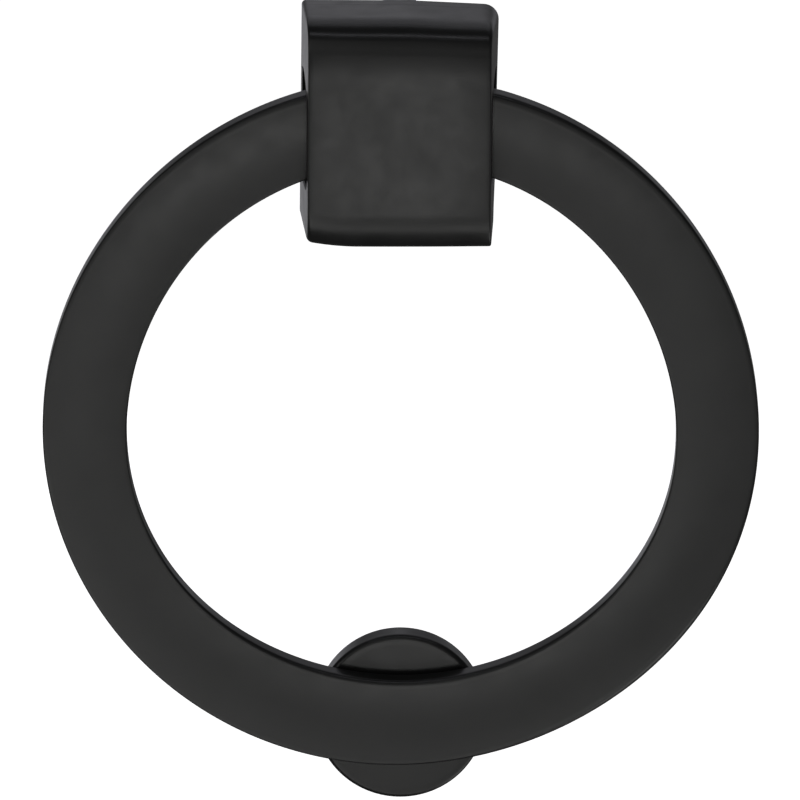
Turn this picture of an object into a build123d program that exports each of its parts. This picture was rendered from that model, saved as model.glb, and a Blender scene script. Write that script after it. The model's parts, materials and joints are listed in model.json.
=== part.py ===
from build123d import *

import os
from math import asin, atan, cos, degrees, hypot, radians, sin, sqrt

# Ring door knocker. Millimetres.
#
# The door's outer face is the plane Y = 0 and the door fills +Y. The viewer stands at -Y, +Z is up
# and +X is to the viewer's right. The origin lies on the door, straight behind the hinge pin.

# ---------------------------------------------------------------- driving dimensions

# Bracket: a block, wider at the door than at the front
bracket_depth = 16.8
bracket_top = 19.3
bracket_bottom = -14.95
bracket_back_width = 29.4
bracket_front_width = 27.4
top_edge_radius = 3.6
bottom_edge_radius = 3.8
side_edge_radius = 0.6

# Back plate: closes the block and carries the hinge lug
plate_thickness = 3.0
lug_half_width = 5.0
lug_bottom = -10.4
lug_block_front = 9.8
eye_radius = 3.4

# Hinge
hinge_depth = 7.0
pin_radius = 1.5
pin_chamfer = 0.3
running_clearance = 0.03
bushing_radius = 2.25
bushing_flange_radius = 3.2
bushing_flange = 0.7
bushing_length = 4.5
side_play = 0.1

# Cavity that the top of the ring turns in, open through both sides of the block
cavity_radius = 10.45
cavity_floor = -6.6
cavity_front = 14.8
cavity_corner_radius = 3.0
floor_slot_clearance = 0.4

# Ring: a flat band
ring_outer_radius = 53.5
ring_inner_radius = 41.0
ring_thickness = 3.7
ring_crown = 0.3
ring_edge_radius = 0.4
ring_drop = 43.5
ring_back_offset = 2.1
ring_flat_height = 8.3
ring_flat_half_width = 13.6
ring_flat_chamfer = 0.8
ring_cut_overrun = 1.0
knuckle_radius = 3.4
knuckle_web_half_height = 3.0
knuckle_end = 11.0
relief_radius = 3.8

# Strike: the button that the ring lands on
strike_radius = 12.8
strike_thickness = 4.6
strike_edge_radius = 0.5
strike_back_chamfer = 0.3
strike_height = -90.7
rest_gap = 0.05

# Fasteners; the stud threads are drawn plain, at their pitch radius
door_thickness = 44.0
stud_radius = 2.5
stud_thread_radius = 2.24
stud_clearance_radius = 2.75
stud_hole_lead = 0.5
stud_grip = 8.0
stud_tail = 8.0
stud_chamfer = 0.5
stud_hole_relief = 0.5
upper_stud_height = 15.0
lower_stud_height = -6.6

screw_radius = 1.25
screw_head_radius = 2.35
screw_clearance_radius = 1.4
screw_sink_radius = 2.45
screw_length = 8.0
screw_head_height = 1.1
screw_hole_depth = 9.0
screw_socket_radius = 0.8
screw_socket_depth = 0.7
screw_side = 9.5
upper_screw_height = 15.0
lower_screw_height = -11.5

washer_radius = 5.0
washer_bore_radius = 2.65
washer_thickness = 1.0

nut_across_flats = 8.0
nut_hex_height = 4.0
nut_dome_radius = 3.75
nut_height = 10.0
nut_bore_depth = 8.0

strike_stud_grip = 3.0
strike_stud_thread_radius = 2.24
wood_thread_radius = 2.0
wood_thread_length = 23.0
wood_tip_length = 5.0
wood_tip_radius = 0.2

# ---------------------------------------------------------------- places worked out from them

hinge_point = Vector(0, -hinge_depth, 0)

# The band's lowest flat point, seen from the hinge, lands on the strike. That sets the ring's lean.
landing_drop = ring_drop + ring_outer_radius - ring_edge_radius
landing_arm = hypot(ring_back_offset, landing_drop)
landing_reach = hinge_depth - strike_thickness - rest_gap
rest_tilt = degrees(atan(ring_back_offset / landing_drop) + asin(landing_reach / landing_arm))

# Ring's own directions at rest: up along the ring, and forward out of its face
ring_up = Vector(0, -sin(radians(rest_tilt)), cos(radians(rest_tilt)))
ring_forward = Vector(0, -cos(radians(rest_tilt)), -sin(radians(rest_tilt)))

# Sketch planes on the ring: X is forward and Y is up, seen from the side
ring_side = Plane(origin=hinge_point, x_dir=ring_forward, z_dir=ring_forward.cross(ring_up))
ring_centre = hinge_point - ring_up * ring_drop
ring_section = Plane(origin=ring_centre, x_dir=ring_up, z_dir=ring_up.cross(ring_forward))
ring_axis = Axis(ring_centre, ring_forward)

# Door face seen from inside the door, with Y up: what is drilled from behind starts here
door_side = Plane(origin=(0, 0, 0), x_dir=(-1, 0, 0), z_dir=(0, 1, 0))
inner_face = door_side.offset(door_thickness)
plate_front = Plane.XZ.offset(plate_thickness)

stud_heights = (upper_stud_height, lower_stud_height)
stud_places = [(0, height) for height in stud_heights]
screw_places = [
    (side * screw_side, height)
    for height in (upper_screw_height, lower_screw_height)
    for side in (-1, 1)
]
knuckle_start = lug_half_width + bushing_flange + side_play

os.makedirs("parts", exist_ok=True)


def save(part, name):
    """Label a finished piece and write its STEP file."""
    part.label = name
    export_step(part, f"parts/{name}.step")


# ---------------------------------------------------------------- bracket

# The whole block, before it is divided into housing and back plate
with BuildPart() as bracket_block:
    with BuildSketch(Plane.YZ):
        with BuildLine():
            Polyline(
                (0, bracket_bottom),
                (-bracket_depth, bracket_bottom),
                (-bracket_depth, bracket_top),
                (0, bracket_top),
                close=True,
            )
        make_face()
        front_corners = vertices().group_by(Axis.X)[0].sort_by(Axis.Y)
        fillet(front_corners[-1], top_edge_radius)
        fillet(front_corners[0], bottom_edge_radius)
    extrude(amount=bracket_back_width / 2, both=True)
    # Both sides draw in towards the front
    with BuildSketch(Plane.XY.offset(bracket_bottom)):
        with BuildLine():
            Polyline(
                (-bracket_back_width / 2, 0),
                (-bracket_front_width / 2, -bracket_depth),
                (bracket_front_width / 2, -bracket_depth),
                (bracket_back_width / 2, 0),
                close=True,
            )
        make_face()
    extrude(amount=bracket_top - bracket_bottom, mode=Mode.INTERSECT)
    side_faces = faces().sort_by(Axis.X)[0] + faces().sort_by(Axis.X)[-1]
    side_edges = side_faces.edges()
    on_door = side_edges.group_by(Axis.Y)[-1]
    fillet(side_edges - on_door, side_edge_radius)

# Housing: the visible block, hollowed right across for the ring
with BuildPart() as housing:
    add(bracket_block.part)
    split(bisect_by=plate_front, keep=Keep.TOP)
    with BuildSketch(Plane.YZ):
        with BuildLine():
            arc_front = sqrt(cavity_radius**2 - (cavity_front - hinge_depth) ** 2)
            arc_back = sqrt(cavity_radius**2 - hinge_depth**2)
            RadiusArc((0, arc_back), (-cavity_front, arc_front), -cavity_radius)
            Polyline(
                (-cavity_front, arc_front),
                (-cavity_front, cavity_floor),
                (0, cavity_floor),
                (0, arc_back),
            )
        make_face()
        fillet(vertices().group_by(Axis.Y)[0].sort_by(Axis.X)[0], cavity_corner_radius)
    extrude(amount=bracket_back_width, both=True, mode=Mode.SUBTRACT)
    # The lug hangs a little lower than the cavity floor
    with BuildSketch(Plane.YZ):
        with Locations((0, lug_bottom - floor_slot_clearance)):
            slot_depth = lug_block_front + floor_slot_clearance
            Rectangle(slot_depth, -lug_bottom, align=(Align.MAX, Align.MIN))
    extrude(amount=lug_half_width + floor_slot_clearance, both=True, mode=Mode.SUBTRACT)
    with BuildSketch(door_side):
        with Locations(stud_places[0]):
            Circle(stud_thread_radius)
    extrude(amount=-(stud_grip + stud_hole_relief), mode=Mode.SUBTRACT)
    with BuildSketch(door_side):
        with Locations(screw_places):
            Circle(screw_radius)
    extrude(amount=-screw_hole_depth, mode=Mode.SUBTRACT)
save(housing.part, "housing")

# Back plate with the hinge lug in its middle
with BuildPart() as back_plate:
    add(bracket_block.part)
    split(bisect_by=plate_front, keep=Keep.BOTTOM)
    with BuildSketch(Plane.YZ):
        with Locations((-hinge_depth, 0)):
            Circle(eye_radius)
        with BuildLine():
            Polyline(
                (-plate_thickness, eye_radius),
                (-hinge_depth, eye_radius),
                (-hinge_depth, -eye_radius),
                (-lug_block_front, -eye_radius),
                (-lug_block_front, lug_bottom),
                (-plate_thickness, lug_bottom),
                close=True,
            )
        make_face()
    extrude(amount=lug_half_width, both=True)
    with BuildSketch(Plane.YZ):
        with Locations((-hinge_depth, 0)):
            Circle(bushing_radius)
    extrude(amount=lug_half_width, both=True, mode=Mode.SUBTRACT)
    with BuildSketch(door_side):
        with Locations(stud_places[0]):
            Circle(stud_clearance_radius)
    extrude(amount=-plate_thickness, mode=Mode.SUBTRACT)
    with BuildSketch(door_side):
        with Locations(stud_places[1]):
            Circle(stud_thread_radius)
    extrude(amount=-(stud_grip + stud_hole_relief), mode=Mode.SUBTRACT)
    # Lead-in for the lower stud's shoulder
    with BuildSketch(door_side):
        with Locations(stud_places[1]):
            Circle(stud_clearance_radius)
    extrude(amount=-stud_hole_lead, mode=Mode.SUBTRACT)
    with Locations(door_side):
        with Locations(*screw_places):
            CounterSinkHole(screw_clearance_radius, screw_sink_radius, plate_thickness)
save(back_plate.part, "back_plate")

with BuildPart() as back_plate_screws:
    with BuildSketch(door_side):
        with Locations(screw_places):
            Circle(screw_radius)
    extrude(amount=-screw_length)
    with BuildSketch(door_side):
        with Locations(screw_places):
            Circle(screw_head_radius)
    extrude(amount=-screw_head_height, taper=degrees(atan(1)))
    with BuildSketch(door_side):
        with Locations(screw_places):
            RegularPolygon(screw_socket_radius, 6)
    extrude(amount=-screw_socket_depth, mode=Mode.SUBTRACT)
save(back_plate_screws.part, "back_plate_screws")

# ---------------------------------------------------------------- hinge

for side, name in ((-1, "bushing_left"), (1, "bushing_right")):
    flange_face = Plane.YZ.offset(side * lug_half_width)
    with BuildPart() as bushing:
        with BuildSketch(flange_face):
            with Locations((-hinge_depth, 0)):
                Circle(bushing_flange_radius)
        extrude(amount=side * bushing_flange)
        with BuildSketch(flange_face):
            with Locations((-hinge_depth, 0)):
                Circle(bushing_radius)
        extrude(amount=-side * bushing_length)
        with BuildSketch(flange_face):
            with Locations((-hinge_depth, 0)):
                Circle(pin_radius + running_clearance)
        extrude(amount=bushing_length, both=True, mode=Mode.SUBTRACT)
    save(bushing.part, name)

with BuildPart() as hinge_pin:
    with BuildSketch(ring_side):
        Circle(pin_radius)
    extrude(amount=knuckle_end, both=True)
    chamfer(edges().filter_by(GeomType.CIRCLE), pin_chamfer)
save(hinge_pin.part, "hinge_pin")

# ---------------------------------------------------------------- ring

with BuildPart() as knocker_ring:
    # Section of the band: X is the radius, Y is forward of the hinge
    with BuildSketch(ring_section):
        with BuildLine():
            back = ring_back_offset
            front = ring_back_offset + ring_thickness
            shoulder = front - ring_crown
            middle = (ring_inner_radius + ring_outer_radius) / 2
            Polyline(
                (ring_inner_radius, shoulder),
                (ring_inner_radius, back),
                (ring_outer_radius, back),
                (ring_outer_radius, shoulder),
            )
            ThreePointArc(
                (ring_outer_radius, shoulder), (middle, front), (ring_inner_radius, shoulder)
            )
        make_face()
        fillet(vertices(), ring_edge_radius)
    revolve(axis=ring_axis)
    # Inside the block the band's top is cut flat, so that it turns in a smaller space
    with BuildSketch(ring_side):
        with BuildLine():
            cut_back = ring_back_offset - ring_cut_overrun
            cut_front = ring_back_offset + ring_thickness + ring_cut_overrun
            cut_top = ring_flat_height + ring_thickness
            Polyline(
                (cut_back, ring_flat_height - ring_flat_chamfer - ring_cut_overrun),
                (ring_back_offset + ring_flat_chamfer, ring_flat_height),
                (cut_front, ring_flat_height),
                (cut_front, cut_top),
                (cut_back, cut_top),
                close=True,
            )
        make_face()
    extrude(amount=ring_flat_half_width, both=True, mode=Mode.SUBTRACT)
    # Knuckles on the band's back take the pin
    with BuildSketch(ring_side):
        Circle(knuckle_radius)
        with BuildLine():
            web_front = ring_back_offset + ring_edge_radius
            Polyline(
                (0, -knuckle_web_half_height),
                (web_front, -knuckle_web_half_height),
                (web_front, knuckle_web_half_height),
                (0, knuckle_web_half_height),
                close=True,
            )
        make_face()
    extrude(amount=knuckle_end, both=True)
    # Room for the lug between the knuckles
    with BuildSketch(ring_side):
        Circle(relief_radius)
    extrude(amount=knuckle_start, both=True, mode=Mode.SUBTRACT)
    with BuildSketch(ring_side):
        Circle(pin_radius)
    extrude(amount=knuckle_end, both=True, mode=Mode.SUBTRACT)
save(knocker_ring.part, "knocker_ring")

# ---------------------------------------------------------------- strike

strike_plane = Plane(origin=(0, 0, strike_height), x_dir=(-1, 0, 0), z_dir=(0, 1, 0))

with BuildPart() as strike:
    with BuildSketch(strike_plane):
        Circle(strike_radius)
    extrude(amount=-strike_thickness)
    fillet(edges().group_by(Axis.Y)[0], strike_edge_radius)
    chamfer(edges().group_by(Axis.Y)[-1], strike_back_chamfer)
    with BuildSketch(strike_plane):
        Circle(strike_stud_thread_radius)
    extrude(amount=-strike_stud_grip, mode=Mode.SUBTRACT)
save(strike.part, "strike")

# Hanger bolt: machine thread in the strike, wood thread in the door
with BuildPart() as strike_stud:
    with BuildSketch(strike_plane):
        Circle(strike_stud_thread_radius)
    extrude(amount=-strike_stud_grip)
    with BuildSketch(strike_plane):
        Circle(wood_thread_radius)
    extrude(amount=wood_thread_length)
    with BuildSketch(strike_plane.offset(wood_thread_length)):
        Circle(wood_thread_radius)
    with BuildSketch(strike_plane.offset(wood_thread_length + wood_tip_length)):
        Circle(wood_tip_radius)
    loft()
save(strike_stud.part, "strike_stud")

# ---------------------------------------------------------------- bracket's door fixings

with BuildPart() as bracket_studs:
    with BuildSketch(door_side):
        with Locations(stud_places):
            Circle(stud_radius)
    extrude(amount=door_thickness)
    with BuildSketch(door_side):
        with Locations(stud_places):
            Circle(stud_thread_radius)
    extrude(amount=-stud_grip)
    with BuildSketch(inner_face):
        with Locations(stud_places):
            Circle(stud_thread_radius)
    extrude(amount=stud_tail)
    stud_ends = edges().group_by(Axis.Y)
    chamfer(stud_ends[0] + stud_ends[-1], stud_chamfer)
save(bracket_studs.part, "bracket_studs")

with BuildPart() as bracket_washers:
    with BuildSketch(inner_face):
        with Locations(stud_places):
            Circle(washer_radius)
            Circle(washer_bore_radius, mode=Mode.SUBTRACT)
    extrude(amount=washer_thickness)
save(bracket_washers.part, "bracket_washers")

nut_face = inner_face.offset(washer_thickness)
nut_cap_height = nut_height - nut_dome_radius

with BuildPart() as bracket_dome_nuts:
    with BuildSketch(nut_face):
        with Locations(stud_places):
            RegularPolygon(nut_across_flats / 2, 6, major_radius=False)
    extrude(amount=nut_hex_height)
    with BuildSketch(nut_face):
        with Locations(stud_places):
            Circle(nut_dome_radius)
    extrude(amount=nut_cap_height)
    with Locations(nut_face.offset(nut_cap_height)):
        with Locations(*stud_places):
            Sphere(nut_dome_radius)
    with BuildSketch(nut_face):
        with Locations(stud_places):
            Circle(stud_thread_radius)
    extrude(amount=nut_bore_depth, mode=Mode.SUBTRACT)
save(bracket_dome_nuts.part, "bracket_dome_nuts")

print(f"ring leans {rest_tilt:.3f} degrees at rest")
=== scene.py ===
import json
import math

import bmesh
import bpy
from mathutils import Matrix, Vector, noise


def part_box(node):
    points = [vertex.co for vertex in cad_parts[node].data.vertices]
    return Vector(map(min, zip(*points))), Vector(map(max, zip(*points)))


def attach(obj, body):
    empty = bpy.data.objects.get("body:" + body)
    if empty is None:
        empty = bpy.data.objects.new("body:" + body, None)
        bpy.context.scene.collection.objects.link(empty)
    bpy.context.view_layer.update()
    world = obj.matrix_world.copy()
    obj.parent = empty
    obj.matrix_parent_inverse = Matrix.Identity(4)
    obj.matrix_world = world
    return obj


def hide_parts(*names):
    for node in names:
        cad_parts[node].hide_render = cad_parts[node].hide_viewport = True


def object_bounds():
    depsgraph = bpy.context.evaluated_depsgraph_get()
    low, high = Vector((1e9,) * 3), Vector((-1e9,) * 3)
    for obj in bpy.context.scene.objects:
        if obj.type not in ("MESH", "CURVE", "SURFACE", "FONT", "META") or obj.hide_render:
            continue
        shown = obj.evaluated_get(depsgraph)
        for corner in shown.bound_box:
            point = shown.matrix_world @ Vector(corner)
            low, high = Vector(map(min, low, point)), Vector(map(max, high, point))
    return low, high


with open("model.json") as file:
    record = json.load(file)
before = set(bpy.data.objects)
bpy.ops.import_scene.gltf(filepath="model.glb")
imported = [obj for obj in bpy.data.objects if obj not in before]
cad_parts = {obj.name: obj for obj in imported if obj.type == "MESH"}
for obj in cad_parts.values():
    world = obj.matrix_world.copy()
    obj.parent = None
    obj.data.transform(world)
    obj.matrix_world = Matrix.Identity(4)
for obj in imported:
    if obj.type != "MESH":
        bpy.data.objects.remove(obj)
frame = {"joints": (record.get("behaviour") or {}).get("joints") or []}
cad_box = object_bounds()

# Ring door knocker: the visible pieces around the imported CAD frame, their materials, and a plain studio.
# Shapes are worked out in millimetres in the CAD frame and scaled to metres as each mesh is made.

MM = 0.001
RIGHT = Vector((1, 0, 0))
INTO_DOOR = Vector((0, 1, 0))


def box_mm(node):
    """Lowest and highest corner of a CAD node, in millimetres."""
    low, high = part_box(node)
    return low / MM, high / MM


# ---------------------------------------------------------------- sizes, from the frame and the design

housing_low, housing_high = box_mm("housing")
strike_low, strike_high = box_mm("strike")
ring_low, ring_high = box_mm("knocker_ring")
washer_low, washer_high = box_mm("bracket_washers")
STUD_END = box_mm("bracket_studs")[1].y
NUT_BASE = box_mm("bracket_dome_nuts")[0].y

HINGE = Vector(frame["joints"][0]["pos_m"]) / MM
PIN_RADIUS = 1.5
PIN_HALF = 11.0

# The bracket: its top, bottom and front, the back plate's thickness, and the slot for the lug
TOP = housing_high.z
BOTTOM = housing_low.z
FRONT = housing_low.y
PLATE = -housing_high.y
LUG_HALF = 5.0
LUG_RADIUS = 3.2
BUSH_RADIUS = 2.25
SLOT_HALF = 5.4
CAVITY_RADIUS = 10.45
CAVITY_FLOOR = -6.6
CAVITY_FRONT = -14.8
CAVITY_CORNER = 3.0

# The ring: its centre is RING_DROP below the hinge, its back RING_BACK in front of it, its top cut flat
BAND_WIDTH = 12.5
RING_OUTER = (ring_high.x - ring_low.x) / 2
RING_INNER = RING_OUTER - BAND_WIDTH
RING_DROP = 43.5
RING_BACK = 2.1
RING_THICK = 3.7
RING_CROWN = 0.3
RING_FLAT = 8.3
RING_BACK_EDGE = 0.4
KNUCKLE_RADIUS = 3.4
KNUCKLE_INNER = 5.8
RELIEF_RADIUS = 3.8

STRIKE_RADIUS = (strike_high.x - strike_low.x) / 2
STRIKE_Z = (strike_low.z + strike_high.z) / 2
STRIKE_THICK = -strike_low.y
STRIKE_EDGE = 0.75
STRIKE_GAP = 0.05

# The ring leans until the lowest point of its back is on the strike
landing_drop = RING_DROP + RING_OUTER - RING_BACK_EDGE
landing_arm = math.hypot(RING_BACK, landing_drop)
landing_reach = -HINGE.y - STRIKE_THICK - STRIKE_GAP
LEAN = math.atan(RING_BACK / landing_drop) + math.asin(landing_reach / landing_arm)
RING_UP = Vector((0, -math.sin(LEAN), math.cos(LEAN)))
RING_FORWARD = Vector((0, -math.cos(LEAN), -math.sin(LEAN)))
RING_CENTRE = HINGE - RING_UP * RING_DROP

# Fixings
WASHER_RADIUS = 5.0
WASHER_BORE = 2.65
STUD_PLACES = (washer_high.z - WASHER_RADIUS, washer_low.z + WASHER_RADIUS)
STUD_RADIUS = 2.5
STUD_HOLE_RADIUS = 2.75
STUD_TAP_RADIUS = 2.26
STUD_PLAIN_LENGTH = 29.0
STUD_PITCH = 0.8
SCREW_PLACES = [(x, z) for z in (15.0, -11.5) for x in (-9.5, 9.5)]
SCREW_HOLE_RADIUS = 1.4
NUT_HALF_FLATS = 4.0
DOME_RADIUS = 3.75


# ---------------------------------------------------------------- mesh tools

class Shell:
    """Points and faces gathered for one mesh, in millimetres."""

    def __init__(self):
        self.points = []
        self.faces = []

    def add(self, points, faces):
        start = len(self.points)
        self.points += [Vector(p) for p in points]
        self.faces += [tuple(start + i for i in face) for face in faces]
        return self


def object_from(name, shell):
    """A Blender object, still in millimetres, with its faces pointing outwards."""
    mesh = bpy.data.meshes.new(name)
    mesh.from_pydata(shell.points, [], shell.faces)
    work = bmesh.new()
    work.from_mesh(mesh)
    bmesh.ops.remove_doubles(work, verts=work.verts, dist=1e-5)
    bmesh.ops.recalc_face_normals(work, faces=work.faces)
    work.to_mesh(mesh)
    work.free()
    obj = bpy.data.objects.new(name, mesh)
    bpy.context.scene.collection.objects.link(obj)
    return obj


def combine(base, shell, operation):
    """Joins a shell to the base, or cuts it away, with an exact boolean."""
    tool = object_from("tool", shell)
    modifier = base.modifiers.new("combine", "BOOLEAN")
    modifier.operation = operation
    modifier.solver = "EXACT"
    modifier.object = tool
    shaped = base.evaluated_get(bpy.context.evaluated_depsgraph_get())
    mesh = bpy.data.meshes.new_from_object(shaped)
    base.modifiers.clear()
    old = base.data
    base.data = mesh
    bpy.data.meshes.remove(old)
    bpy.data.objects.remove(tool)


def finish_piece(obj, name, body, node, material, sharp_deg=32):
    """Scales a finished mesh to metres, shades it, puts it on its body and hides the CAD node it takes the
    place of.
    """
    obj.name = name
    obj.data.name = name
    obj.data.transform(Matrix.Scale(MM, 4))
    for polygon in obj.data.polygons:
        polygon.use_smooth = True
    obj.data.set_sharp_from_angle(angle=math.radians(sharp_deg))
    obj.data.materials.clear()
    obj.data.materials.append(material)
    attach(obj, body)
    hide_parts(node)


def turned(stations, origin, axis, across, count=64, closed=False):
    """Points and faces around an axis, from stations of (distance, radius).

    A radius may be a function of the angle.
    """
    axis = Vector(axis).normalized()
    across = Vector(across).normalized()
    third = axis.cross(across)
    points, rows = [], []
    for distance, radius in stations:
        centre = Vector(origin) + axis * distance
        if not callable(radius) and radius == 0:
            rows.append([len(points)])
            points.append(centre)
            continue
        row = []
        for k in range(count):
            angle = 2 * math.pi * k / count
            r = radius(angle) if callable(radius) else radius
            row.append(len(points))
            points.append(centre + (across * math.cos(angle) + third * math.sin(angle)) * r)
        rows.append(row)
    faces = []
    pairs = list(zip(rows, rows[1:]))
    if closed:
        pairs.append((rows[-1], rows[0]))
    for a, b in pairs:
        for k in range(count):
            j = (k + 1) % count
            if len(a) == 1:
                faces.append((a[0], b[k], b[j]))
            elif len(b) == 1:
                faces.append((a[k], a[j], b[0]))
            else:
                faces.append((a[k], a[j], b[j], b[k]))
    return points, faces


def rounding(distance, radius, size, start_deg, end_deg, steps=5):
    """Stations along a rounded edge, centred on (distance, radius)."""
    made = []
    for k in range(steps + 1):
        angle = math.radians(start_deg + (end_deg - start_deg) * k / steps)
        made.append((distance + size * math.sin(angle), radius + size * math.cos(angle)))
    return made


def prism(outline, x_start, x_end, ease, steps=4):
    """A convex outline of (y, z) points drawn along X, with both ends' edges eased."""
    outline = [Vector(p) for p in outline]
    count = len(outline)
    middle = sum(outline, Vector((0, 0))) / count
    points, rows = [], []
    stations = []
    for k in range(steps + 1):
        angle = math.radians(90 * k / steps)
        stations.append((x_start + ease * (1 - math.sin(angle)), ease * (1 - math.cos(angle))))
    near = [(x, inset) for x, inset in reversed(stations)]
    far = [(x_end - (x - x_start), inset) for x, inset in stations]
    for x, inset in near + far:
        row = []
        for p in outline:
            q = p - (p - middle).normalized() * inset
            row.append(len(points))
            points.append((x, q.x, q.y))
        rows.append(row)
    faces = [tuple(rows[0]), tuple(reversed(rows[-1]))]
    for a, b in zip(rows, rows[1:]):
        for k in range(count):
            j = (k + 1) % count
            faces.append((a[k], a[j], b[j], b[k]))
    return points, faces


# ---------------------------------------------------------------- bracket's outline

def profile_arc(points, radius, start_deg, end_deg, steps):
    """Carries a profile on round an arc. Angles are the surface's slope: 90 faces up, 0 faces forward."""
    y, z = points[-1]
    a = math.radians(start_deg)
    for k in range(1, steps + 1):
        b = math.radians(start_deg + (end_deg - start_deg) * k / steps)
        forward = radius * (math.cos(b) - math.cos(a))
        points.append((y - forward, z - radius * (math.sin(a) - math.sin(b))))


# The front of the top rolls over in arcs of (radius, slope at the end, steps): brow, crease, chest
BROW_ARCS = ((18.0, 80, 12), (4.6, 56, 12))
CREASE_ARC = (2.8, 34, 10)
CHEST_ARCS = ((3.1, 20, 8), (8.5, 5, 10), (40.0, 0, 6))
CHIN_DEPTH = 3.0
CHIN_HEIGHT = 5.75
TOP_STEPS, FACE_STEPS, CHIN_STEPS, UNDER_STEPS = 14, 24, 18, 14


def arc_depth(arcs):
    """How far forward a run of arcs carries the surface, starting from level."""
    slope, depth = 90, 0.0
    for radius, end, _ in arcs:
        depth += radius * (math.cos(math.radians(end)) - math.cos(math.radians(slope)))
        slope = end
    return depth


def bracket_profile():
    """The bracket's outer line in (y, z), from the door along the top, down the front and back below.

    The height of the crease comes with it.
    """
    arcs = BROW_ARCS + (CREASE_ARC,) + CHEST_ARCS
    brow_y = FRONT + arc_depth(arcs)
    line = [(brow_y * k / TOP_STEPS, TOP) for k in range(TOP_STEPS + 1)]
    slope = 90
    ends = []
    for radius, end, steps in arcs:
        profile_arc(line, radius, slope, end, steps)
        slope = end
        ends.append(len(line) - 1)
    crease = (line[ends[1]][1] + line[ends[2]][1]) / 2
    chest_z = line[-1][1]
    chin_z = BOTTOM + CHIN_HEIGHT
    for k in range(1, FACE_STEPS + 1):
        line.append((FRONT, chest_z + (chin_z - chest_z) * k / FACE_STEPS))
    for k in range(1, CHIN_STEPS + 1):
        angle = math.radians(90 * k / CHIN_STEPS)
        line.append((FRONT + CHIN_DEPTH * (1 - math.cos(angle)), chin_z - CHIN_HEIGHT * math.sin(angle)))
    under_y = line[-1][0]
    for k in range(1, UNDER_STEPS + 1):
        line.append((under_y * (1 - k / UNDER_STEPS), BOTTOM))
    return [Vector(p) for p in line], crease


PROFILE, CREASE_Z = bracket_profile()

# Half the bracket's width at the back and the front, and how far the back spreads upwards and bows. Each
# centre is its distance to the right and what that gains from the bracket's bottom to its top.
HALF_BACK = 14.8
HALF_FRONT = 13.6
BACK_SPREAD = 0.2
BACK_BOW = 0.9
CENTRE_BACK = (-0.27, 0.55)
CENTRE_FRONT = (-0.18, 0.2)


def half_width(y, z, side):
    """From the middle plane to the bracket's side, at a depth and height. It is a little out of true."""
    height = (z - (TOP + BOTTOM) / 2) / (TOP - BOTTOM)
    share = y / FRONT
    back = HALF_BACK + BACK_SPREAD * height - BACK_BOW * height ** 2
    back_centre = CENTRE_BACK[0] + CENTRE_BACK[1] * height
    front_centre = CENTRE_FRONT[0] + CENTRE_FRONT[1] * height
    return back + (HALF_FRONT - back) * share + side * (back_centre + (front_centre - back_centre) * share)


# Edge radii of the face's middle and of the upper and lower corners, right (1) and left (-1), and how much
# of each corner's extra is lost towards the front
FACE_EDGE = 0.3
UPPER_EDGE = {1: 2.2, -1: 0.7}
LOWER_EDGE = {1: 0.35, -1: 1.2}
UPPER_FADE = 0.7
LOWER_FADE = 0.4


def edge_radius(y, z, side):
    """Radius of the edge between the bracket's sides and the rest, which finishing by hand left uneven."""
    height = (z - BOTTOM) / (TOP - BOTTOM)
    depth = y / FRONT
    corner, fade = (UPPER_EDGE, UPPER_FADE) if height > 0.5 else (LOWER_EDGE, LOWER_FADE)
    blend = min(1.0, abs(height - 0.5) * 2) ** 5
    return FACE_EDGE + (corner[side] - FACE_EDGE) * blend * (1 - fade * depth)


TOP_SLOPE = 0.008
TOP_FALL, TOP_FALL_START = 0.042, 1.5
CORNER_RISE, CORNER_RISE_START, CORNER_RISE_WIDTH = 0.66, 6.0, 7.3


def settle(x, z):
    """How far the casting's top falls away to the right and its bottom rises at the left."""
    height = (z - BOTTOM) / (TOP - BOTTOM)
    fall = TOP_SLOPE * x + TOP_FALL * max(0.0, x - TOP_FALL_START)
    rise = CORNER_RISE * (max(0.0, -x - CORNER_RISE_START) / CORNER_RISE_WIDTH) ** 2
    return rise * (1 - height) ** 3 - fall * height ** 3


def handmade(point, outward, amount):
    """Moves a point along its normal by a little, smoothly over the surface."""
    value = noise.noise(point * 0.09) * 0.7 + noise.noise(point * 0.21 + Vector((7, 3, 1))) * 0.3
    return point + outward * value * amount


def outward_normals(line):
    """Unit normals of a (y, z) line that runs with the solid on its right-hand side."""
    made = []
    for i in range(len(line)):
        a = line[max(i - 1, 0)]
        b = line[min(i + 1, len(line) - 1)]
        t = (b - a).normalized()
        made.append(Vector((t.y, -t.x)))
    return made


# The small unevenness of the bracket's front: a crown across it, a soft waviness, and a wavering crease
FRONT_CROWN = 0.25
FRONT_WAVE = 0.06
CREASE_WAVE = 0.1
CREASE_REACH = 1.3
FADE_START = 0.5
FADE_LENGTH = 4.0
CAVITY_EDGE = 0.3
ROUND_STEPS, CROSS_STEPS = 8, 44


def uneven(place, x, z, normal, past_plate):
    """A point of the bracket's outside, moved by the casting's unevenness, given its depth past the plate."""
    place.y += FRONT_CROWN * min(1.0, abs(place.x) / HALF_FRONT) ** 4 * max(0.0, -normal.x)
    fade = min(1.0, (past_plate - FADE_START) / FADE_LENGTH)
    place = handmade(place, Vector((0, normal.x, normal.y)), FRONT_WAVE * fade)
    wave = noise.noise(Vector((x * 0.16, 3.1, 0.4))) + 0.5 * noise.noise(Vector((x * 0.5, 8.2, 2.0)))
    near = math.exp(-(((z - CREASE_Z) / CREASE_REACH) ** 2))
    return place + Vector((0, -normal.y, normal.x)) * wave * CREASE_WAVE * near


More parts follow.
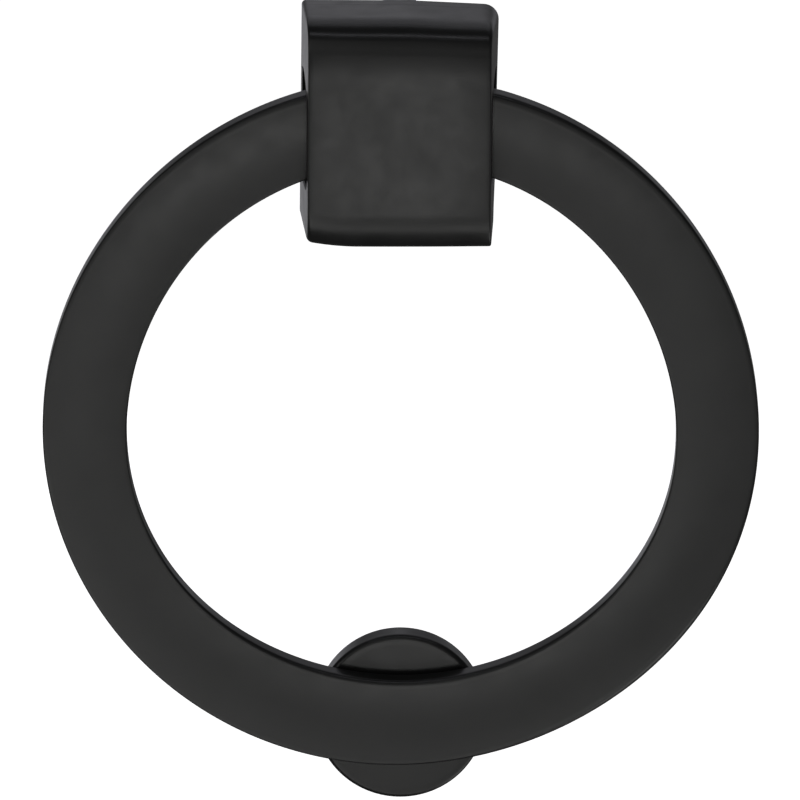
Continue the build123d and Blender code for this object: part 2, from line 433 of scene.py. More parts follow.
def across_bracket(y, z, station, radius_at):
    """The x of a station across the bracket at a depth and height, and how far its rounded edge is inset."""
    side, angle, share = station
    if side:
        r = radius_at(y, z, side)
        return side * (half_width(y, z, side) - r + r * math.sin(angle)), r * (1 - math.cos(angle))
    left = half_width(y, z, -1) - radius_at(y, z, -1)
    right = half_width(y, z, 1) - radius_at(y, z, 1)
    return -left + (left + right) * (share + 1) / 2, 0


def sweep_bracket(outer, inner, y_limits):
    """A block drawn across X with rounded sides. Its section lies between two equally long (y, z) lines."""
    stations = [(-1, math.radians(90 - 90 * k / ROUND_STEPS), None) for k in range(ROUND_STEPS + 1)]
    stations += [(0, 0, -1 + 2 * k / CROSS_STEPS) for k in range(1, CROSS_STEPS)]
    stations += [(1, math.radians(90 * k / ROUND_STEPS), None) for k in range(ROUND_STEPS + 1)]
    outer_line = list(zip(outer, outward_normals(outer)))
    inner_line = list(zip(inner, outward_normals(inner)))
    points, outer_rows, inner_rows = [], [], []

    def add_point(row, place):
        place.y = min(max(place.y, y_limits[0]), y_limits[1])
        row.append(len(points))
        points.append(place)

    for station in stations:
        row = []
        for (y, z), n in outer_line:
            x, inset = across_bracket(y, z, station, edge_radius)
            place = Vector((x, y - n.x * inset, z - n.y * inset + settle(x, z)))
            if y < -PLATE - FADE_START:
                place = uneven(place, x, z, n, -PLATE - y)
            add_point(row, place)
        outer_rows.append(row)
        row = []
        for (y, z), n in inner_line:
            x, inset = across_bracket(y, z, station, lambda *_: CAVITY_EDGE)
            add_point(row, Vector((x, y + n.x * inset, z + n.y * inset)))
        inner_rows.append(row)
    faces = []
    count = len(outer)
    for j in range(len(stations) - 1):
        for i in range(count - 1):
            a, b = outer_rows[j], outer_rows[j + 1]
            faces.append((a[i], a[i + 1], b[i + 1], b[i]))
            a, b = inner_rows[j], inner_rows[j + 1]
            faces.append((a[i], b[i], b[i + 1], a[i + 1]))
        for i in (0, count - 1):
            faces.append((outer_rows[j][i], inner_rows[j][i], inner_rows[j + 1][i], outer_rows[j + 1][i]))
    for outer_row, inner_row in ((outer_rows[0], inner_rows[0]), (outer_rows[-1], inner_rows[-1])):
        for i in range(count - 1):
            faces.append((outer_row[i], outer_row[i + 1], inner_row[i + 1], inner_row[i]))
    return points, faces


def resample(line, count):
    """The same line with evenly spaced points."""
    lengths = [0.0]
    for a, b in zip(line, line[1:]):
        lengths.append(lengths[-1] + (b - a).length)
    made = []
    i = 0
    for k in range(count):
        want = lengths[-1] * k / (count - 1)
        while i < len(line) - 2 and lengths[i + 1] < want:
            i += 1
        span = lengths[i + 1] - lengths[i]
        made.append(line[i].lerp(line[i + 1], (want - lengths[i]) / span))
    return made


# ---------------------------------------------------------------- materials

def new_material(name):
    material = bpy.data.materials.new(name)
    material.use_nodes = True
    tree = material.node_tree
    return material, tree, tree.nodes["Principled BSDF"]


def add_noise(tree, scale, detail=2.0, rough=0.5, stretch=(1, 1, 1)):
    """A noise texture in the piece's own coordinates, in cycles per metre."""
    where = tree.nodes.new("ShaderNodeTexCoord")
    mapping = tree.nodes.new("ShaderNodeMapping")
    mapping.inputs["Scale"].default_value = stretch
    texture = tree.nodes.new("ShaderNodeTexNoise")
    texture.inputs["Scale"].default_value = scale
    texture.inputs["Detail"].default_value = detail
    texture.inputs["Roughness"].default_value = rough
    tree.links.new(where.outputs["Object"], mapping.inputs["Vector"])
    tree.links.new(mapping.outputs["Vector"], texture.inputs["Vector"])
    return texture.outputs["Fac"]


def add_range(tree, value, low, high, start=0.3, end=0.7):
    """Maps a noise value to a range."""
    node = tree.nodes.new("ShaderNodeMapRange")
    node.inputs["From Min"].default_value = start
    node.inputs["From Max"].default_value = end
    node.inputs["To Min"].default_value = low
    node.inputs["To Max"].default_value = high
    tree.links.new(value, node.inputs["Value"])
    return node.outputs["Result"]


def add_ramp(tree, value, low_colour, high_colour, start=0.3, end=0.7):
    """Maps a noise value to a colour."""
    node = tree.nodes.new("ShaderNodeValToRGB")
    node.color_ramp.elements[0].position = start
    node.color_ramp.elements[0].color = (*low_colour, 1)
    node.color_ramp.elements[1].position = end
    node.color_ramp.elements[1].color = (*high_colour, 1)
    tree.links.new(value, node.inputs["Fac"])
    return node.outputs["Color"]


def add_bumps(tree, shader, layers):
    """Stacks bump layers of (height value, distance in metres, strength)."""
    last = None
    for value, distance, strength in layers:
        bump = tree.nodes.new("ShaderNodeBump")
        bump.inputs["Distance"].default_value = distance
        bump.inputs["Strength"].default_value = strength
        tree.links.new(value, bump.inputs["Height"])
        if last:
            tree.links.new(last, bump.inputs["Normal"])
        last = bump.outputs["Normal"]
    tree.links.new(last, shader.inputs["Normal"])


def satin_black():
    """Satin black coating on cast metal: near-black, fine orange peel, slightly uneven sheen."""
    material, tree, shader = new_material("satin_black")
    tree.links.new(
        add_ramp(tree, add_noise(tree, 140, 4.0), (0.0085, 0.0087, 0.0088), (0.0125, 0.0125, 0.0128)),
        shader.inputs["Base Color"],
    )
    tree.links.new(
        add_range(tree, add_noise(tree, 260, 5.0, 0.6), 0.28, 0.34), shader.inputs["Roughness"]
    )
    shader.inputs["IOR"].default_value = 1.5
    add_bumps(
        tree,
        shader,
        [
            (add_noise(tree, 1300, 2.0), 0.00001, 0.10),
            (add_noise(tree, 6500, 3.0, 0.65), 0.000004, 0.12),
        ],
    )
    return material


def zinc_steel():
    """Dull zinc plating with a faint blue and straw cast."""
    material, tree, shader = new_material("zinc_steel")
    tree.links.new(
        add_ramp(tree, add_noise(tree, 420, 4.0), (0.50, 0.53, 0.57), (0.63, 0.62, 0.58)),
        shader.inputs["Base Color"],
    )
    tree.links.new(
        add_range(tree, add_noise(tree, 2200, 4.0), 0.28, 0.42), shader.inputs["Roughness"]
    )
    shader.inputs["Metallic"].default_value = 1.0
    add_bumps(tree, shader, [(add_noise(tree, 5200, 3.0), 0.000006, 0.2)])
    return material


def pin_steel():
    """Ground stainless: fine rings round the pin."""
    material, tree, shader = new_material("pin_steel")
    tree.links.new(
        add_ramp(tree, add_noise(tree, 900, 3.0, 0.5, (8, 1, 1)), (0.52, 0.52, 0.53), (0.62, 0.62, 0.62)),
        shader.inputs["Base Color"],
    )
    tree.links.new(
        add_range(tree, add_noise(tree, 1200, 3.0, 0.6, (10, 1, 1)), 0.16, 0.3),
        shader.inputs["Roughness"],
    )
    shader.inputs["Metallic"].default_value = 1.0
    add_bumps(tree, shader, [(add_noise(tree, 1500, 2.0, 0.5, (12, 0.6, 0.6)), 0.000004, 0.2)])
    return material


def nylon():
    """Natural nylon, moulded: off-white and slightly waxy."""
    material, tree, shader = new_material("nylon")
    tree.links.new(
        add_ramp(tree, add_noise(tree, 700, 3.0), (0.74, 0.72, 0.65), (0.82, 0.81, 0.75)),
        shader.inputs["Base Color"],
    )
    tree.links.new(
        add_range(tree, add_noise(tree, 1900, 3.0), 0.38, 0.52), shader.inputs["Roughness"]
    )
    shader.inputs["Subsurface Weight"].default_value = 0.15
    shader.inputs["Subsurface Scale"].default_value = 0.001
    add_bumps(tree, shader, [(add_noise(tree, 4200, 2.0), 0.000006, 0.15)])
    return material


BLACK = satin_black()
ZINC = zinc_steel()
PIN = pin_steel()
NYLON = nylon()


# ---------------------------------------------------------------- bracket housing and back plate

def cavity_line():
    """The housing's inside line in (y, z), from the back at the top round to the back at the bottom."""
    arc_steps, corner_steps = 24, 8
    start = math.degrees(math.acos((-PLATE - HINGE.y) / CAVITY_RADIUS))
    end = math.degrees(math.acos((CAVITY_FRONT - HINGE.y) / CAVITY_RADIUS))
    line = []
    for k in range(arc_steps + 1):
        angle = math.radians(start + (end - start) * k / arc_steps)
        line.append(Vector((HINGE.y + CAVITY_RADIUS * math.cos(angle), CAVITY_RADIUS * math.sin(angle))))
    for k in range(corner_steps + 1):
        angle = math.radians(90 * k / corner_steps)
        y = CAVITY_FRONT + CAVITY_CORNER * (1 - math.cos(angle))
        line.append(Vector((y, CAVITY_FLOOR + CAVITY_CORNER * (1 - math.sin(angle)))))
    line.append(Vector((-PLATE, CAVITY_FLOOR)))
    return line


def build_housing():
    outer = [p for p in PROFILE if p.x < -PLATE]
    outer = [Vector((-PLATE, TOP))] + outer + [Vector((-PLATE, BOTTOM))]
    inner = resample(cavity_line(), len(outer))
    obj = object_from("housing", Shell().add(*sweep_bracket(outer, inner, (FRONT - 1, -PLATE))))
    # The slot in the cavity's floor, where the lug's foot stands
    slot = [(-10.2, -10.8), (-2.0, -10.8), (-2.0, -5.6), (-10.2, -5.6)]
    combine(obj, Shell().add(*prism(slot, -SLOT_HALF, SLOT_HALF, 0.01, 1)), "DIFFERENCE")
    finish_piece(obj, "bracket_housing", "door_side", "housing", BLACK)


def plate_outline(y, inset):
    """The back plate's outline in (x, z) at a depth, with each corner's own radius."""
    corners = [(1, TOP), (-1, TOP), (-1, BOTTOM), (1, BOTTOM)]
    corner_steps = 8
    made = []
    for index, (side, z) in enumerate(corners):
        r = edge_radius(y, z, side)
        inward = -1 if z > 0 else 1
        centre_z = z + inward * r
        # After every other corner comes the run across the top or the bottom
        starts_run = index % 2 == 0
        for k in range(corner_steps + 1):
            share = k / corner_steps if starts_run else 1 - k / corner_steps
            angle = math.radians(90 * share)
            x = side * (half_width(y, z, side) - r + (r - inset) * math.cos(angle))
            made.append((x, y, centre_z - inward * (r - inset) * math.sin(angle) + settle(x, z)))
        if starts_run:
            x_start = side * (half_width(y, z, side) - r)
            x_end = -side * (half_width(y, z, -side) - edge_radius(y, z, -side))
            for k in range(1, CROSS_STEPS):
                x = x_start + (x_end - x_start) * k / CROSS_STEPS
                made.append((x, y, z + inward * inset + settle(x, z)))
    return made


def add_lug(plate):
    """Adds the lug to the back plate: a foot, a web and a round eye about the pin, bored for the bushes."""
    edge = 0.2
    eye = turned(
        [(-LUG_HALF, 0)]
        + rounding(edge - LUG_HALF, LUG_RADIUS, edge, -90, 0, 3)
        + rounding(LUG_HALF - edge, LUG_RADIUS, edge, 0, 90, 3)
        + [(LUG_HALF, 0)],
        HINGE, RIGHT, INTO_DOOR, 72,
    )
    foot = [(-2.5, -10.4), (-2.5, -3.0), (-9.8, -3.0), (-9.8, -9.9), (-9.3, -10.4)]
    web = [(-2.5, -3.4), (-2.5, 3.39), (-7.0, 3.39), (-7.0, -3.4)]
    for outline in (foot, web):
        combine(plate, Shell().add(*prism(outline, -LUG_HALF, LUG_HALF, 0.15, 3)), "UNION")
    combine(plate, Shell().add(*eye), "UNION")
    bore = turned([(-6, 0), (-6, BUSH_RADIUS), (6, BUSH_RADIUS), (6, 0)], HINGE, RIGHT, INTO_DOOR, 72)
    combine(plate, Shell().add(*bore), "DIFFERENCE")


def add_plate_holes(plate):
    """Cuts the stud holes and the countersunk screw holes in the back plate."""
    wide, tap = STUD_HOLE_RADIUS, STUD_TAP_RADIUS
    upper = [(-0.5, 0), (-0.5, wide), (3.5, wide), (3.5, 0)]
    lower = [(-0.5, 0), (-0.5, wide), (0.5, wide), (0.5, tap), (8.5, tap), (8.5, 0)]
    screw = [(-0.5, 0), (-0.5, 2.45), (0.0, 2.45)]
    screw += [(1.05, SCREW_HOLE_RADIUS), (3.5, SCREW_HOLE_RADIUS), (3.5, 0)]
    holes = Shell()
    for stations, z in zip((upper, lower), STUD_PLACES):
        holes.add(*turned(stations, (0, 0, z), -INTO_DOOR, RIGHT, 64))
    for x, z in SCREW_PLACES:
        holes.add(*turned(screw, (x, 0, z), -INTO_DOOR, RIGHT, 48))
    combine(plate, holes, "DIFFERENCE")


def build_plate():
    ease, seam = 0.18, 0.05
    depths = []
    for degrees in (90, 67.5, 45, 22.5, 0):
        angle = math.radians(degrees)
        depths.append((-ease * (1 - math.sin(angle)), ease * (1 - math.cos(angle))))
    depths += [(-PLATE / 2, 0.0), (-PLATE + 0.06, 0.0), (-PLATE, seam)]
    rows, points = [], []
    for y, inset in depths:
        outline = plate_outline(y, inset)
        rows.append(range(len(points), len(points) + len(outline)))
        points += outline
    faces = [tuple(rows[0]), tuple(reversed(rows[-1]))]
    count = len(rows[0])
    for a, b in zip(rows, rows[1:]):
        for k in range(count):
            j = (k + 1) % count
            faces.append((a[k], b[k], b[j], a[j]))
    obj = object_from("plate", Shell().add(points, faces))
    add_lug(obj)
    add_plate_holes(obj)
    finish_piece(obj, "bracket_back_plate", "door_side", "back_plate", BLACK)


def hex_radius(flat):
    """Radius of a hexagon at an angle, for a half width across flats."""
    def radius(angle):
        turn = (angle + math.pi / 6) % (math.pi / 3) - math.pi / 6
        return flat / math.cos(turn)
    return radius


def limited(radius_at, limit):
    """A radius that depends on the angle, held below a limit."""
    return lambda angle: min(radius_at(angle), limit)


def threaded(start, end, major, root, pitch, fade):
    """Stations of a helical thread along an axis, faded in and out at both ends."""
    steps = int((end - start) / pitch * 10)
    mean = root + (major - root) * 0.45
    made = []
    for k in range(steps + 1):
        t = start + (end - start) * k / steps
        strength = max(0.0, min(1.0, (t - start) / fade, (end - t) / fade))

        def radius(angle, t=t, strength=strength):
            phase = (t / pitch - angle / (2 * math.pi)) % 1.0
            height = max(0.0, min(1.0, 1.15 - abs(phase - 0.5) * 2.9))
            return mean + (root + (major - root) * height - mean) * strength

        made.append((t, radius))
    return made


def build_plate_screws():
    """Countersunk screws with a hexagon socket, flush with the back plate."""
    socket, socket_rim = hex_radius(0.78), limited(hex_radius(0.86), 1.2)
    stations = [(0.75, 0), (0.75, socket), (0.12, socket), (0.04, socket_rim)]
    stations += [(0.04, 2.28), (0.10, 2.36), (0.18, 2.3), (1.15, 1.34)]
    stations += threaded(1.3, 7.6, 1.25, 1.0, 0.45, 0.4)
    stations += [(7.8, 1.0), (8.0, 0.8), (8.0, 0)]
    shell = Shell()
    for x, z in SCREW_PLACES:
        shell.add(*turned(stations, (x, 0, z), -INTO_DOOR, RIGHT, 48))
    obj = object_from("screws", shell)
    finish_piece(obj, "back_plate_screws_detail", "door_side", "back_plate_screws", ZINC)


# ---------------------------------------------------------------- hinge

def build_bushings():
    """Flanged bushes, each turned about the pin from the lug's side outwards."""
    bore, rim, edge, flange = 1.53, 3.2, 0.12, 0.7
    stations = [(flange, bore + edge)]
    stations += rounding(flange - edge, rim - edge, edge, 90, 0, 4)
    stations += rounding(edge, rim - edge, edge, 0, -90, 4)
    stations += [(0.0, BUSH_RADIUS), (-4.3, BUSH_RADIUS), (-4.5, BUSH_RADIUS - 0.2)]
    stations += [(-4.5, bore + 0.1), (-4.4, bore), (0.0, bore), (flange - 0.1, bore)]
    for side, node in ((-1, "bushing_left"), (1, "bushing_right")):
        place = HINGE + RIGHT * side * LUG_HALF
        shell = Shell().add(*turned(stations, place, RIGHT * side, INTO_DOOR, 64, closed=True))
        finish_piece(object_from(node, shell), node + "_moulded", "door_side", node, NYLON)


def build_pin():
    """The hinge pin, with rounded ends."""
    edge, steps = 0.28, 24
    straight = PIN_HALF - edge
    stations = [(-PIN_HALF, 0), (-PIN_HALF, 1.1)]
    stations += rounding(-straight, PIN_RADIUS - edge, edge, -90, 0, 4)
    stations += [(-straight + 2 * straight * k / steps, PIN_RADIUS) for k in range(1, steps)]
    stations += rounding(straight, PIN_RADIUS - edge, edge, 0, 90, 4)
    stations += [(PIN_HALF, 1.1), (PIN_HALF, 0)]
    shell = Shell().add(*turned(stations, HINGE, RIGHT, INTO_DOOR, 64))
    finish_piece(object_from("pin", shell), "hinge_pin_ground", "ring", "hinge_pin", PIN)


# ---------------------------------------------------------------- ring

# Out-of-roundness of the band's outer and inner line in mm: the mean, then the cosine and sine parts
# of 1 to 5 times the angle
OUTER_MEAN = 0.045
OUTER_WAVES = ((0.107, -0.158), (-0.087, 0.016), (-0.024, -0.212), (0.019, -0.093), (-0.057, -0.012))
INNER_MEAN = -0.125
INNER_WAVES = ((0.09, 0.096), (0.147, -0.083), (0.007, -0.415), (-0.036, -0.042), (0.023, -0.064))


def wave_sum(waves, angle):
    """The departure from a circle at an angle measured from +X towards the ring's top."""
    return sum(
        c * math.cos(times * angle) + s * math.sin(times * angle) for times, (c, s) in enumerate(waves, 1)
    )


def near_angle(angle, centre_deg, width_deg):
    """1 at an angle round the ring, fading to 0 away from it."""
    away = (math.degrees(angle) - centre_deg + 180) % 360 - 180
    return math.exp(-((away / width_deg) ** 2))


CROWN_STEPS = 24
BACK_STEPS = 12
WALL_STEPS = 4


def ring_section(angle):
    """The band's section as (radius, forward), anticlockwise from the inside of the back."""
    back, front = RING_BACK, RING_BACK + RING_THICK
    shoulder = front - RING_CROWN
    shoulder_ease = 0.04
    inner = RING_INNER + INNER_MEAN + wave_sum(INNER_WAVES, angle)
    outer = RING_OUTER + OUTER_MEAN + wave_sum(OUTER_WAVES, angle)
    middle, half = (inner + outer) / 2, (outer - inner) / 2
    back_edge = RING_BACK_EDGE
    # The front's edges are softer at the lower right and the top outside, and at the bottom inside
    outer_edge = 0.25 + 0.9 * near_angle(angle, -45, 28) + 0.45 * near_angle(angle, 80, 45)
    inner_edge = 0.3 + 0.5 * near_angle(angle, -90, 40)
    line = []

    def corner(r, f, size, start, end, steps=6):
        for k in range(steps + 1):
            turn = math.radians(start + (end - start) * k / steps)
            line.append((r + size * math.cos(turn), f + size * math.sin(turn)))

    corner(inner + back_edge, back + back_edge, back_edge, 270, 180)
    wall = shoulder - inner_edge - back - back_edge
    for k in range(1, WALL_STEPS):
        line.append((inner, back + back_edge + wall * k / WALL_STEPS))
    corner(inner + inner_edge, shoulder - inner_edge + shoulder_ease, inner_edge, 180, 98)
    for k in range(1, CROWN_STEPS):
        share = -1 + 2 * k / CROWN_STEPS
        edge = inner_edge if share < 0 else outer_edge
        r = middle + share * (half - edge - 0.1)
        line.append((r, front - RING_CROWN * share ** 2 * 0.9))
    corner(outer - outer_edge, shoulder - outer_edge + shoulder_ease, outer_edge, 82, 0)
    wall = shoulder - outer_edge - back - back_edge
    for k in range(1, WALL_STEPS):
        line.append((outer, shoulder - outer_edge - wall * k / WALL_STEPS))
    corner(outer - back_edge, back + back_edge, back_edge, 0, -90)
    for k in range(1, BACK_STEPS):
        line.append((outer - back_edge - (outer - inner - 2 * back_edge) * k / BACK_STEPS, back))
    return line


def ring_point(radius, forward, angle):
    """A point of the ring at an angle from its top."""
    return (
        RING_CENTRE
        + (RING_UP * math.cos(angle) + RIGHT * math.sin(angle)) * radius
        + RING_FORWARD * forward
    )


def ring_band_shell():
    """The band, squeezed from above where its top is flat."""
    count = 360
    flat = RING_DROP + RING_FLAT
    kept_width = 3.0
    waviness = 0.04
    points, faces = [], []
    for k in range(count):
        angle = 2 * math.pi * k / count
        section = ring_section(math.pi / 2 - angle)
        widest = max(r for r, f in section)
        outer = widest
        if math.cos(angle) > 0:
            outer = min(outer, flat / math.cos(angle))
        for r, f in section:
            share = (r - RING_INNER - kept_width) / (widest - RING_INNER - kept_width)
            share = max(0.0, min(1.0, share))
            share = share * share * (3 - 2 * share)
            place = ring_point(r - (widest - outer) * share, f, angle)
            if f > RING_BACK + RING_THICK / 2:
                place = handmade(place, RING_FORWARD, waviness)
            points.append(place)
    size = len(section)
    for k in range(count):
        j = (k + 1) % count
        for i in range(size):
            n = (i + 1) % size
            faces.append((k * size + i, k * size + n, j * size + n, j * size + i))
    return Shell().add(points, faces)


def build_ring():
    obj = object_from("ring", ring_band_shell())

    # Room for the lug, then a knuckle each side, bored for the pin
    gap, relief = KNUCKLE_INNER, RELIEF_RADIUS
    room = turned([(-gap, 0), (-gap, relief), (gap, relief), (gap, 0)], HINGE, RIGHT, RING_UP, 96)
    combine(obj, Shell().add(*room), "DIFFERENCE")
    half_flat, front, steps = 3.0, 2.7, 40
    edge = math.degrees(math.asin(half_flat / KNUCKLE_RADIUS))
    outline = []
    for k in range(steps + 1):
        angle = math.radians(edge + (360 - 2 * edge) * k / steps)
        outline.append((KNUCKLE_RADIUS * math.cos(angle), KNUCKLE_RADIUS * math.sin(angle)))
    outline += [(front, -half_flat), (front, half_flat)]
    for x_start, x_end in ((-PIN_HALF, -KNUCKLE_INNER), (KNUCKLE_INNER, PIN_HALF)):
        points, faces = prism(outline, x_start, x_end, 0.2, 3)
        points = [HINGE + RIGHT * p[0] + RING_FORWARD * p[1] + RING_UP * p[2] for p in points]
        combine(obj, Shell().add(points, faces), "UNION")
    bore = turned([(-12, 0), (-12, PIN_RADIUS), (12, PIN_RADIUS), (12, 0)], HINGE, RIGHT, INTO_DOOR, 64)
    combine(obj, Shell().add(*bore), "DIFFERENCE")
    finish_piece(obj, "ring_band", "ring", "knocker_ring", BLACK, 38)


# ---------------------------------------------------------------- strike and fixings

def build_strike():
    """The strike, a shallow button with a blind hole behind, and the hanger bolt that holds it."""
    centre = (0, 0, STRIKE_Z)
    r, edge, crown, crown_steps = STRIKE_RADIUS, STRIKE_EDGE, 0.08, 14
    stations = [(3.0, 0), (3.0, 2.25), (0.25, 2.25), (0.0, 2.3), (0.0, r - 0.45)]
    stations += rounding(0.25, r - 0.25, 0.25, -90, 0, 4)
    stations += [(0.9, r), (1.8, r), (2.7, r), (3.4, r)]
    stations += rounding(STRIKE_THICK - edge - crown, r - edge, edge, 0, 86, 8)
    for k in range(1, crown_steps):
        share = 1 - k / crown_steps
        stations.append((STRIKE_THICK - crown * share ** 2, (r - edge) * share))
    stations.append((STRIKE_THICK, 0))
    shell = Shell().add(*turned(stations, centre, -INTO_DOOR, RIGHT, 160))
    finish_piece(object_from("strike", shell), "strike_button", "door_side", "strike", BLACK)

    shank_end, bolt_end, point_steps = 24.0, 28.0, 11
    stations = [(-3.0, 0), (-3.0, 2.0), (-2.8, 2.2)]
    stations += threaded(-2.7, -0.1, 2.24, 2.0, STUD_PITCH, 0.3)
    stations += [(0.0, 2.1), (0.3, 1.85), (2.5, 1.85)]
    stations += threaded(2.6, shank_end, 2.0, 1.3, 1.6, 1.2)
    for k in range(1, point_steps + 1):
        share = k / point_steps
        stations.append((shank_end + (bolt_end - shank_end) * share, 1.55 * (1 - share) + 0.12 * share))
    stations.append((bolt_end, 0))
    obj = object_from("hanger", Shell().add(*turned(stations, centre, INTO_DOOR, RIGHT, 56)))
    finish_piece(obj, "strike_hanger_bolt", "door_side", "strike_stud", ZINC)


def build_studs():
    """The studs: threaded into the bracket, plain through most of the door, threaded for the nuts."""
    stations = [(-8.0, 0), (-8.0, 1.9), (-7.7, 2.2)]
    stations += threaded(-7.6, -0.3, 2.24, 2.02, STUD_PITCH, 0.4)
    stations += [(-0.2, 2.1), (0.0, 2.4), (0.15, STUD_RADIUS)]
    stations += [(0.15 + STUD_PLAIN_LENGTH * k / 12, STUD_RADIUS) for k in range(1, 13)]
    stations += [(29.3, 2.42), (29.5, 2.25)]
    stations += threaded(29.6, STUD_END - 0.5, 2.47, 2.03, STUD_PITCH, 0.6)
    stations += [(STUD_END - 0.4, 2.1), (STUD_END, 1.75), (STUD_END, 0)]
    shell = Shell()
    for z in STUD_PLACES:
        shell.add(*turned(stations, (0, 0, z), INTO_DOOR, RIGHT, 56))
    obj = object_from("studs", shell)
    finish_piece(obj, "bracket_threaded_studs", "door_side", "bracket_studs", ZINC)


def build_washers():
    """Stamped washers: a rolled edge on one side, a sharper one on the other."""
    thick, bore, rim = washer_high.y - washer_low.y, WASHER_BORE, WASHER_RADIUS
    stations = [(0.08, bore), (0.0, bore + 0.08)]
    stations += rounding(0.2, rim - 0.2, 0.2, -90, 0, 4)
    stations += rounding(thick - 0.12, rim - 0.12, 0.12, 0, 90, 4)
    stations += [(thick, bore + 0.1), (thick - 0.1, bore)]
    shell = Shell()
    for z in STUD_PLACES:
        shell.add(*turned(stations, (0, washer_low.y, z), INTO_DOOR, RIGHT, 72, closed=True))
    obj = object_from("washers", shell)
    finish_piece(obj, "bracket_flat_washers", "door_side", "bracket_washers", ZINC)


def build_nuts():
    """Domed nuts: a chamfered hexagon with a round dome on it."""
    across = hex_radius(NUT_HALF_FLATS)
    hexagon = [(0.0, 4.05), (0.18, 4.3), (0.42, 4.62), (1.5, 4.62), (2.6, 4.62), (3.55, 4.62)]
    hexagon += [(3.8, 4.3), (4.0, 4.0)]
    dome_centre, dome_steps = 6.25, 16
    stations = [(8.0, 0), (8.0, 2.24), (0.3, 2.24), (0.0, 2.6), (0.0, 4.05)]
    stations += [(height, limited(across, limit)) for height, limit in hexagon]
    stations += [(4.0, 3.78), (4.15, 3.72), (4.4, DOME_RADIUS), (5.3, DOME_RADIUS)]
    for k in range(dome_steps):
        angle = math.radians(90 * k / dome_steps)
        stations.append((dome_centre + DOME_RADIUS * math.sin(angle), DOME_RADIUS * math.cos(angle)))
    stations.append((dome_centre + DOME_RADIUS, 0))
    shell = Shell()
    for z in STUD_PLACES:
        shell.add(*turned(stations, (0, NUT_BASE, z), INTO_DOOR, RIGHT, 96))
    obj = object_from("nuts", shell)
    finish_piece(obj, "bracket_acorn_nuts", "door_side", "bracket_dome_nuts", BLACK, 26)


# ---------------------------------------------------------------- camera, lights and stage

def aim(direction_deg, distance, target):
    """A place in a direction (azimuth, elevation) from a point; azimuth 0 is straight out in front."""
    a, e = (math.radians(d) for d in direction_deg)
    out = Vector((math.sin(a) * math.cos(e), -math.cos(a) * math.cos(e), math.sin(e)))
    return Vector(target) + out * distance, out


CAMERA_AZIMUTH, CAMERA_ELEVATION = -0.4, 15.5
CAMERA_DISTANCE = 2.0
CAMERA_LENS = 603.5
# What the camera looks at lies on the front of the ring's plane: its x and y, and its height up the picture
LOOK_X, LOOK_Y, LOOK_UP = -0.1, -10.6, -40.9


def build_camera():
    data = bpy.data.cameras.new("camera")
    camera = bpy.data.objects.new("camera", data)
    bpy.context.scene.collection.objects.link(camera)
    elevation = math.radians(CAMERA_ELEVATION)
    look_z = (LOOK_UP - LOOK_Y * math.sin(elevation)) / math.cos(elevation)
    target = Vector((LOOK_X, LOOK_Y, look_z)) * MM
    camera.location, out = aim((CAMERA_AZIMUTH, CAMERA_ELEVATION), CAMERA_DISTANCE, target)
    camera.rotation_mode = "QUATERNION"
    camera.rotation_quaternion = (-out).to_track_quat("-Z", "Y")
    data.lens = CAMERA_LENS
    data.sensor_width = 36
    data.clip_start = 0.05
    data.clip_end = 30
    bpy.context.scene.camera = camera


LIGHT_DISTANCE = 0.9
LIT_POINT = Vector((0, -10, -42)) * MM


def area_light(name, direction, width, height, radiance, colour):
    """A soft rectangular light that faces the knocker. Its power follows from its brightness and area."""
    data = bpy.data.lights.new(name, "AREA")
    data.shape = "RECTANGLE"
    data.size = width
    data.size_y = height
    data.energy = radiance * math.pi * width * height
    data.color = colour
    light = bpy.data.objects.new(name, data)
    bpy.context.scene.collection.objects.link(light)
    light.location, out = aim(direction, LIGHT_DISTANCE, LIT_POINT)
    light.rotation_mode = "QUATERNION"
    light.rotation_quaternion = out.to_track_quat("Z", "Y")
    light.visible_camera = False


# Soft panels, as (azimuth, elevation, width, height, radiance), in degrees and metres. Elevations past 90
# lie behind, over the top.
FRONT_PANELS = (
    (-28, -40, 0.22, 0.18, 1.1),
    (-15, -40, 0.22, 0.18, 0.9),
    (-4, -40, 0.22, 0.18, 0.7),
    (8, -40, 0.22, 0.18, 0.8),
    (19, -40, 0.22, 0.18, 1.3),
    (-28, -29, 0.22, 0.18, 1.3),
    (-15, -29, 0.22, 0.18, 0.75),
    (-2, -27, 0.2, 0.12, 0.5),
    (17, -29, 0.22, 0.18, 0.5),
    (-28, -19, 0.22, 0.18, 1.0),
    (-15, -19, 0.22, 0.18, 0.5),
    (17, -19, 0.22, 0.18, 0.3),
    (-2, -12, 0.22, 0.12, 3.5),
    (10, -12, 0.2, 0.12, 1.0),
    (-44, 14, 0.46, 0.2, 1.0),
    (-15, 13, 0.46, 0.2, 0.4),
    (-15, 27, 0.46, 0.2, 0.35),
    (15, 14, 0.46, 0.2, 0.35),
    (58, -54, 0.5, 0.36, 1.7),
    (-64, -14, 0.5, 0.3, 0.3),
    (64, -14, 0.5, 0.3, 0.2),
    (-92, -10, 0.5, 0.4, 0.4),
    (92, -10, 0.5, 0.4, 0.35),
    (-124, -10, 0.5, 0.4, 0.4),
    (124, -10, 0.5, 0.4, 0.35),
    (-150, -14, 0.4, 0.3, 0.25),
    (150, -14, 0.4, 0.3, 0.12),
)
OVERHEAD_PANELS = (
    (0, 66, 0.9, 0.07, 2.6),
    (0, 124, 0.9, 0.13, 0.5),
    (0, 138, 0.9, 0.13, 0.42),
    (0, 152, 0.9, 0.13, 0.27),
    (-172, -10, 0.32, 0.2, 0.55),
    (-172, 18, 0.32, 0.2, 0.25),
    (172, 18, 0.32, 0.2, 0.2),
    (-158, 2, 0.28, 0.2, 0.3),
    (160, 2, 0.28, 0.2, 0.25),
)


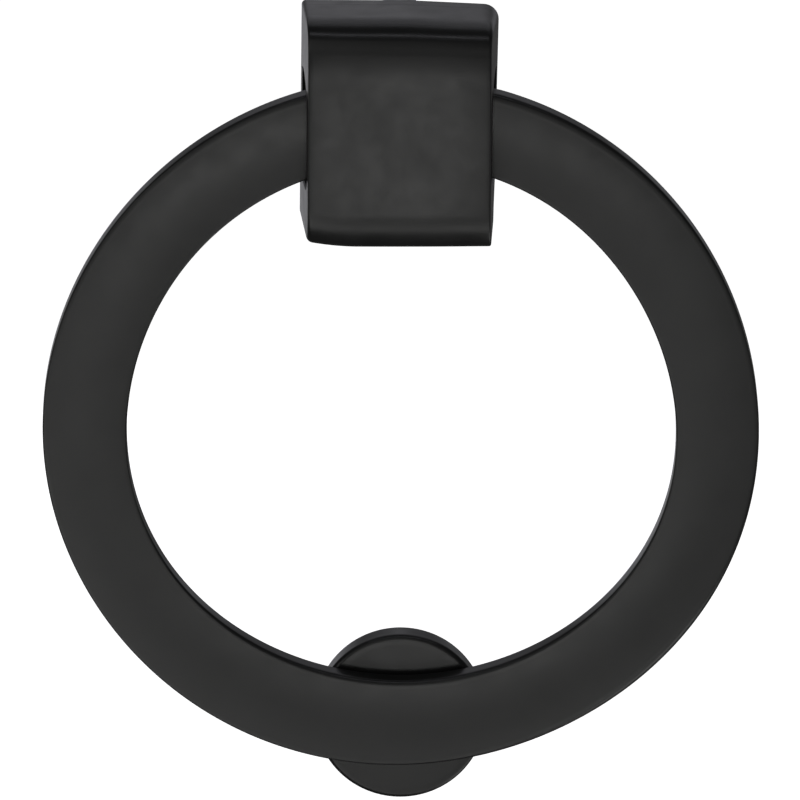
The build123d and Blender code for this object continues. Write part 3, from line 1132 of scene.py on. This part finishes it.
WARM_WHITE = (1, 1, 0.98)
COOL_WHITE = (0.93, 0.93, 1.0)


def build_lights():
    for colour, panels in ((WARM_WHITE, FRONT_PANELS), (COOL_WHITE, OVERHEAD_PANELS)):
        for azimuth, elevation, width, height, radiance in panels:
            if elevation > 90:
                azimuth, elevation = azimuth + 180, 180 - elevation
            name = f"panel_{azimuth}_{elevation}".replace("-", "m")
            area_light(name, (azimuth, elevation), width, height, radiance, colour)


FLOOR_DROP = 0.18
FLOOR_HALF = 4.0
BACKDROP_RADIUS = 4.2
WORLD_STRENGTH = 0.06


def white_stage(name):
    material, _, shader = new_material(name)
    shader.inputs["Base Color"].default_value = (0.9, 0.9, 0.9, 1)
    shader.inputs["Roughness"].default_value = 0.9
    shader.inputs["Emission Color"].default_value = (1, 1, 1, 1)
    shader.inputs["Emission Strength"].default_value = 1.0
    return material


def stage_object(name, work, material_name):
    """A plain white thing outside the object: the camera sees it, but reflections and shadows don't."""
    mesh = bpy.data.meshes.new(name)
    work.to_mesh(mesh)
    work.free()
    obj = bpy.data.objects.new(name, mesh)
    bpy.context.scene.collection.objects.link(obj)
    obj.data.materials.append(white_stage(material_name))
    obj.visible_glossy = False
    obj.visible_diffuse = False
    obj.visible_shadow = False
    obj.visible_transmission = False
    return obj


def build_stage():
    work = bmesh.new()
    bmesh.ops.create_grid(work, x_segments=8, y_segments=8, size=FLOOR_HALF)
    floor = stage_object("floor", work, "pale_floor")
    floor.location = (0, 0, cad_box[0].z - FLOOR_DROP)
    work = bmesh.new()
    bmesh.ops.create_uvsphere(work, u_segments=48, v_segments=24, radius=BACKDROP_RADIUS)
    stage_object("backdrop", work, "pale_backdrop")

    world = bpy.data.worlds.new("world")
    bpy.context.scene.world = world
    world.use_nodes = True
    background = world.node_tree.nodes["Background"]
    background.inputs["Color"].default_value = (1, 1, 1, 1)
    background.inputs["Strength"].default_value = WORLD_STRENGTH


build_camera()
build_housing()
build_plate()
build_plate_screws()
build_bushings()
build_pin()
build_ring()
build_strike()
build_studs()
build_washers()
build_nuts()
build_lights()
build_stage()
bpy.context.scene.view_settings.view_transform = "Standard"
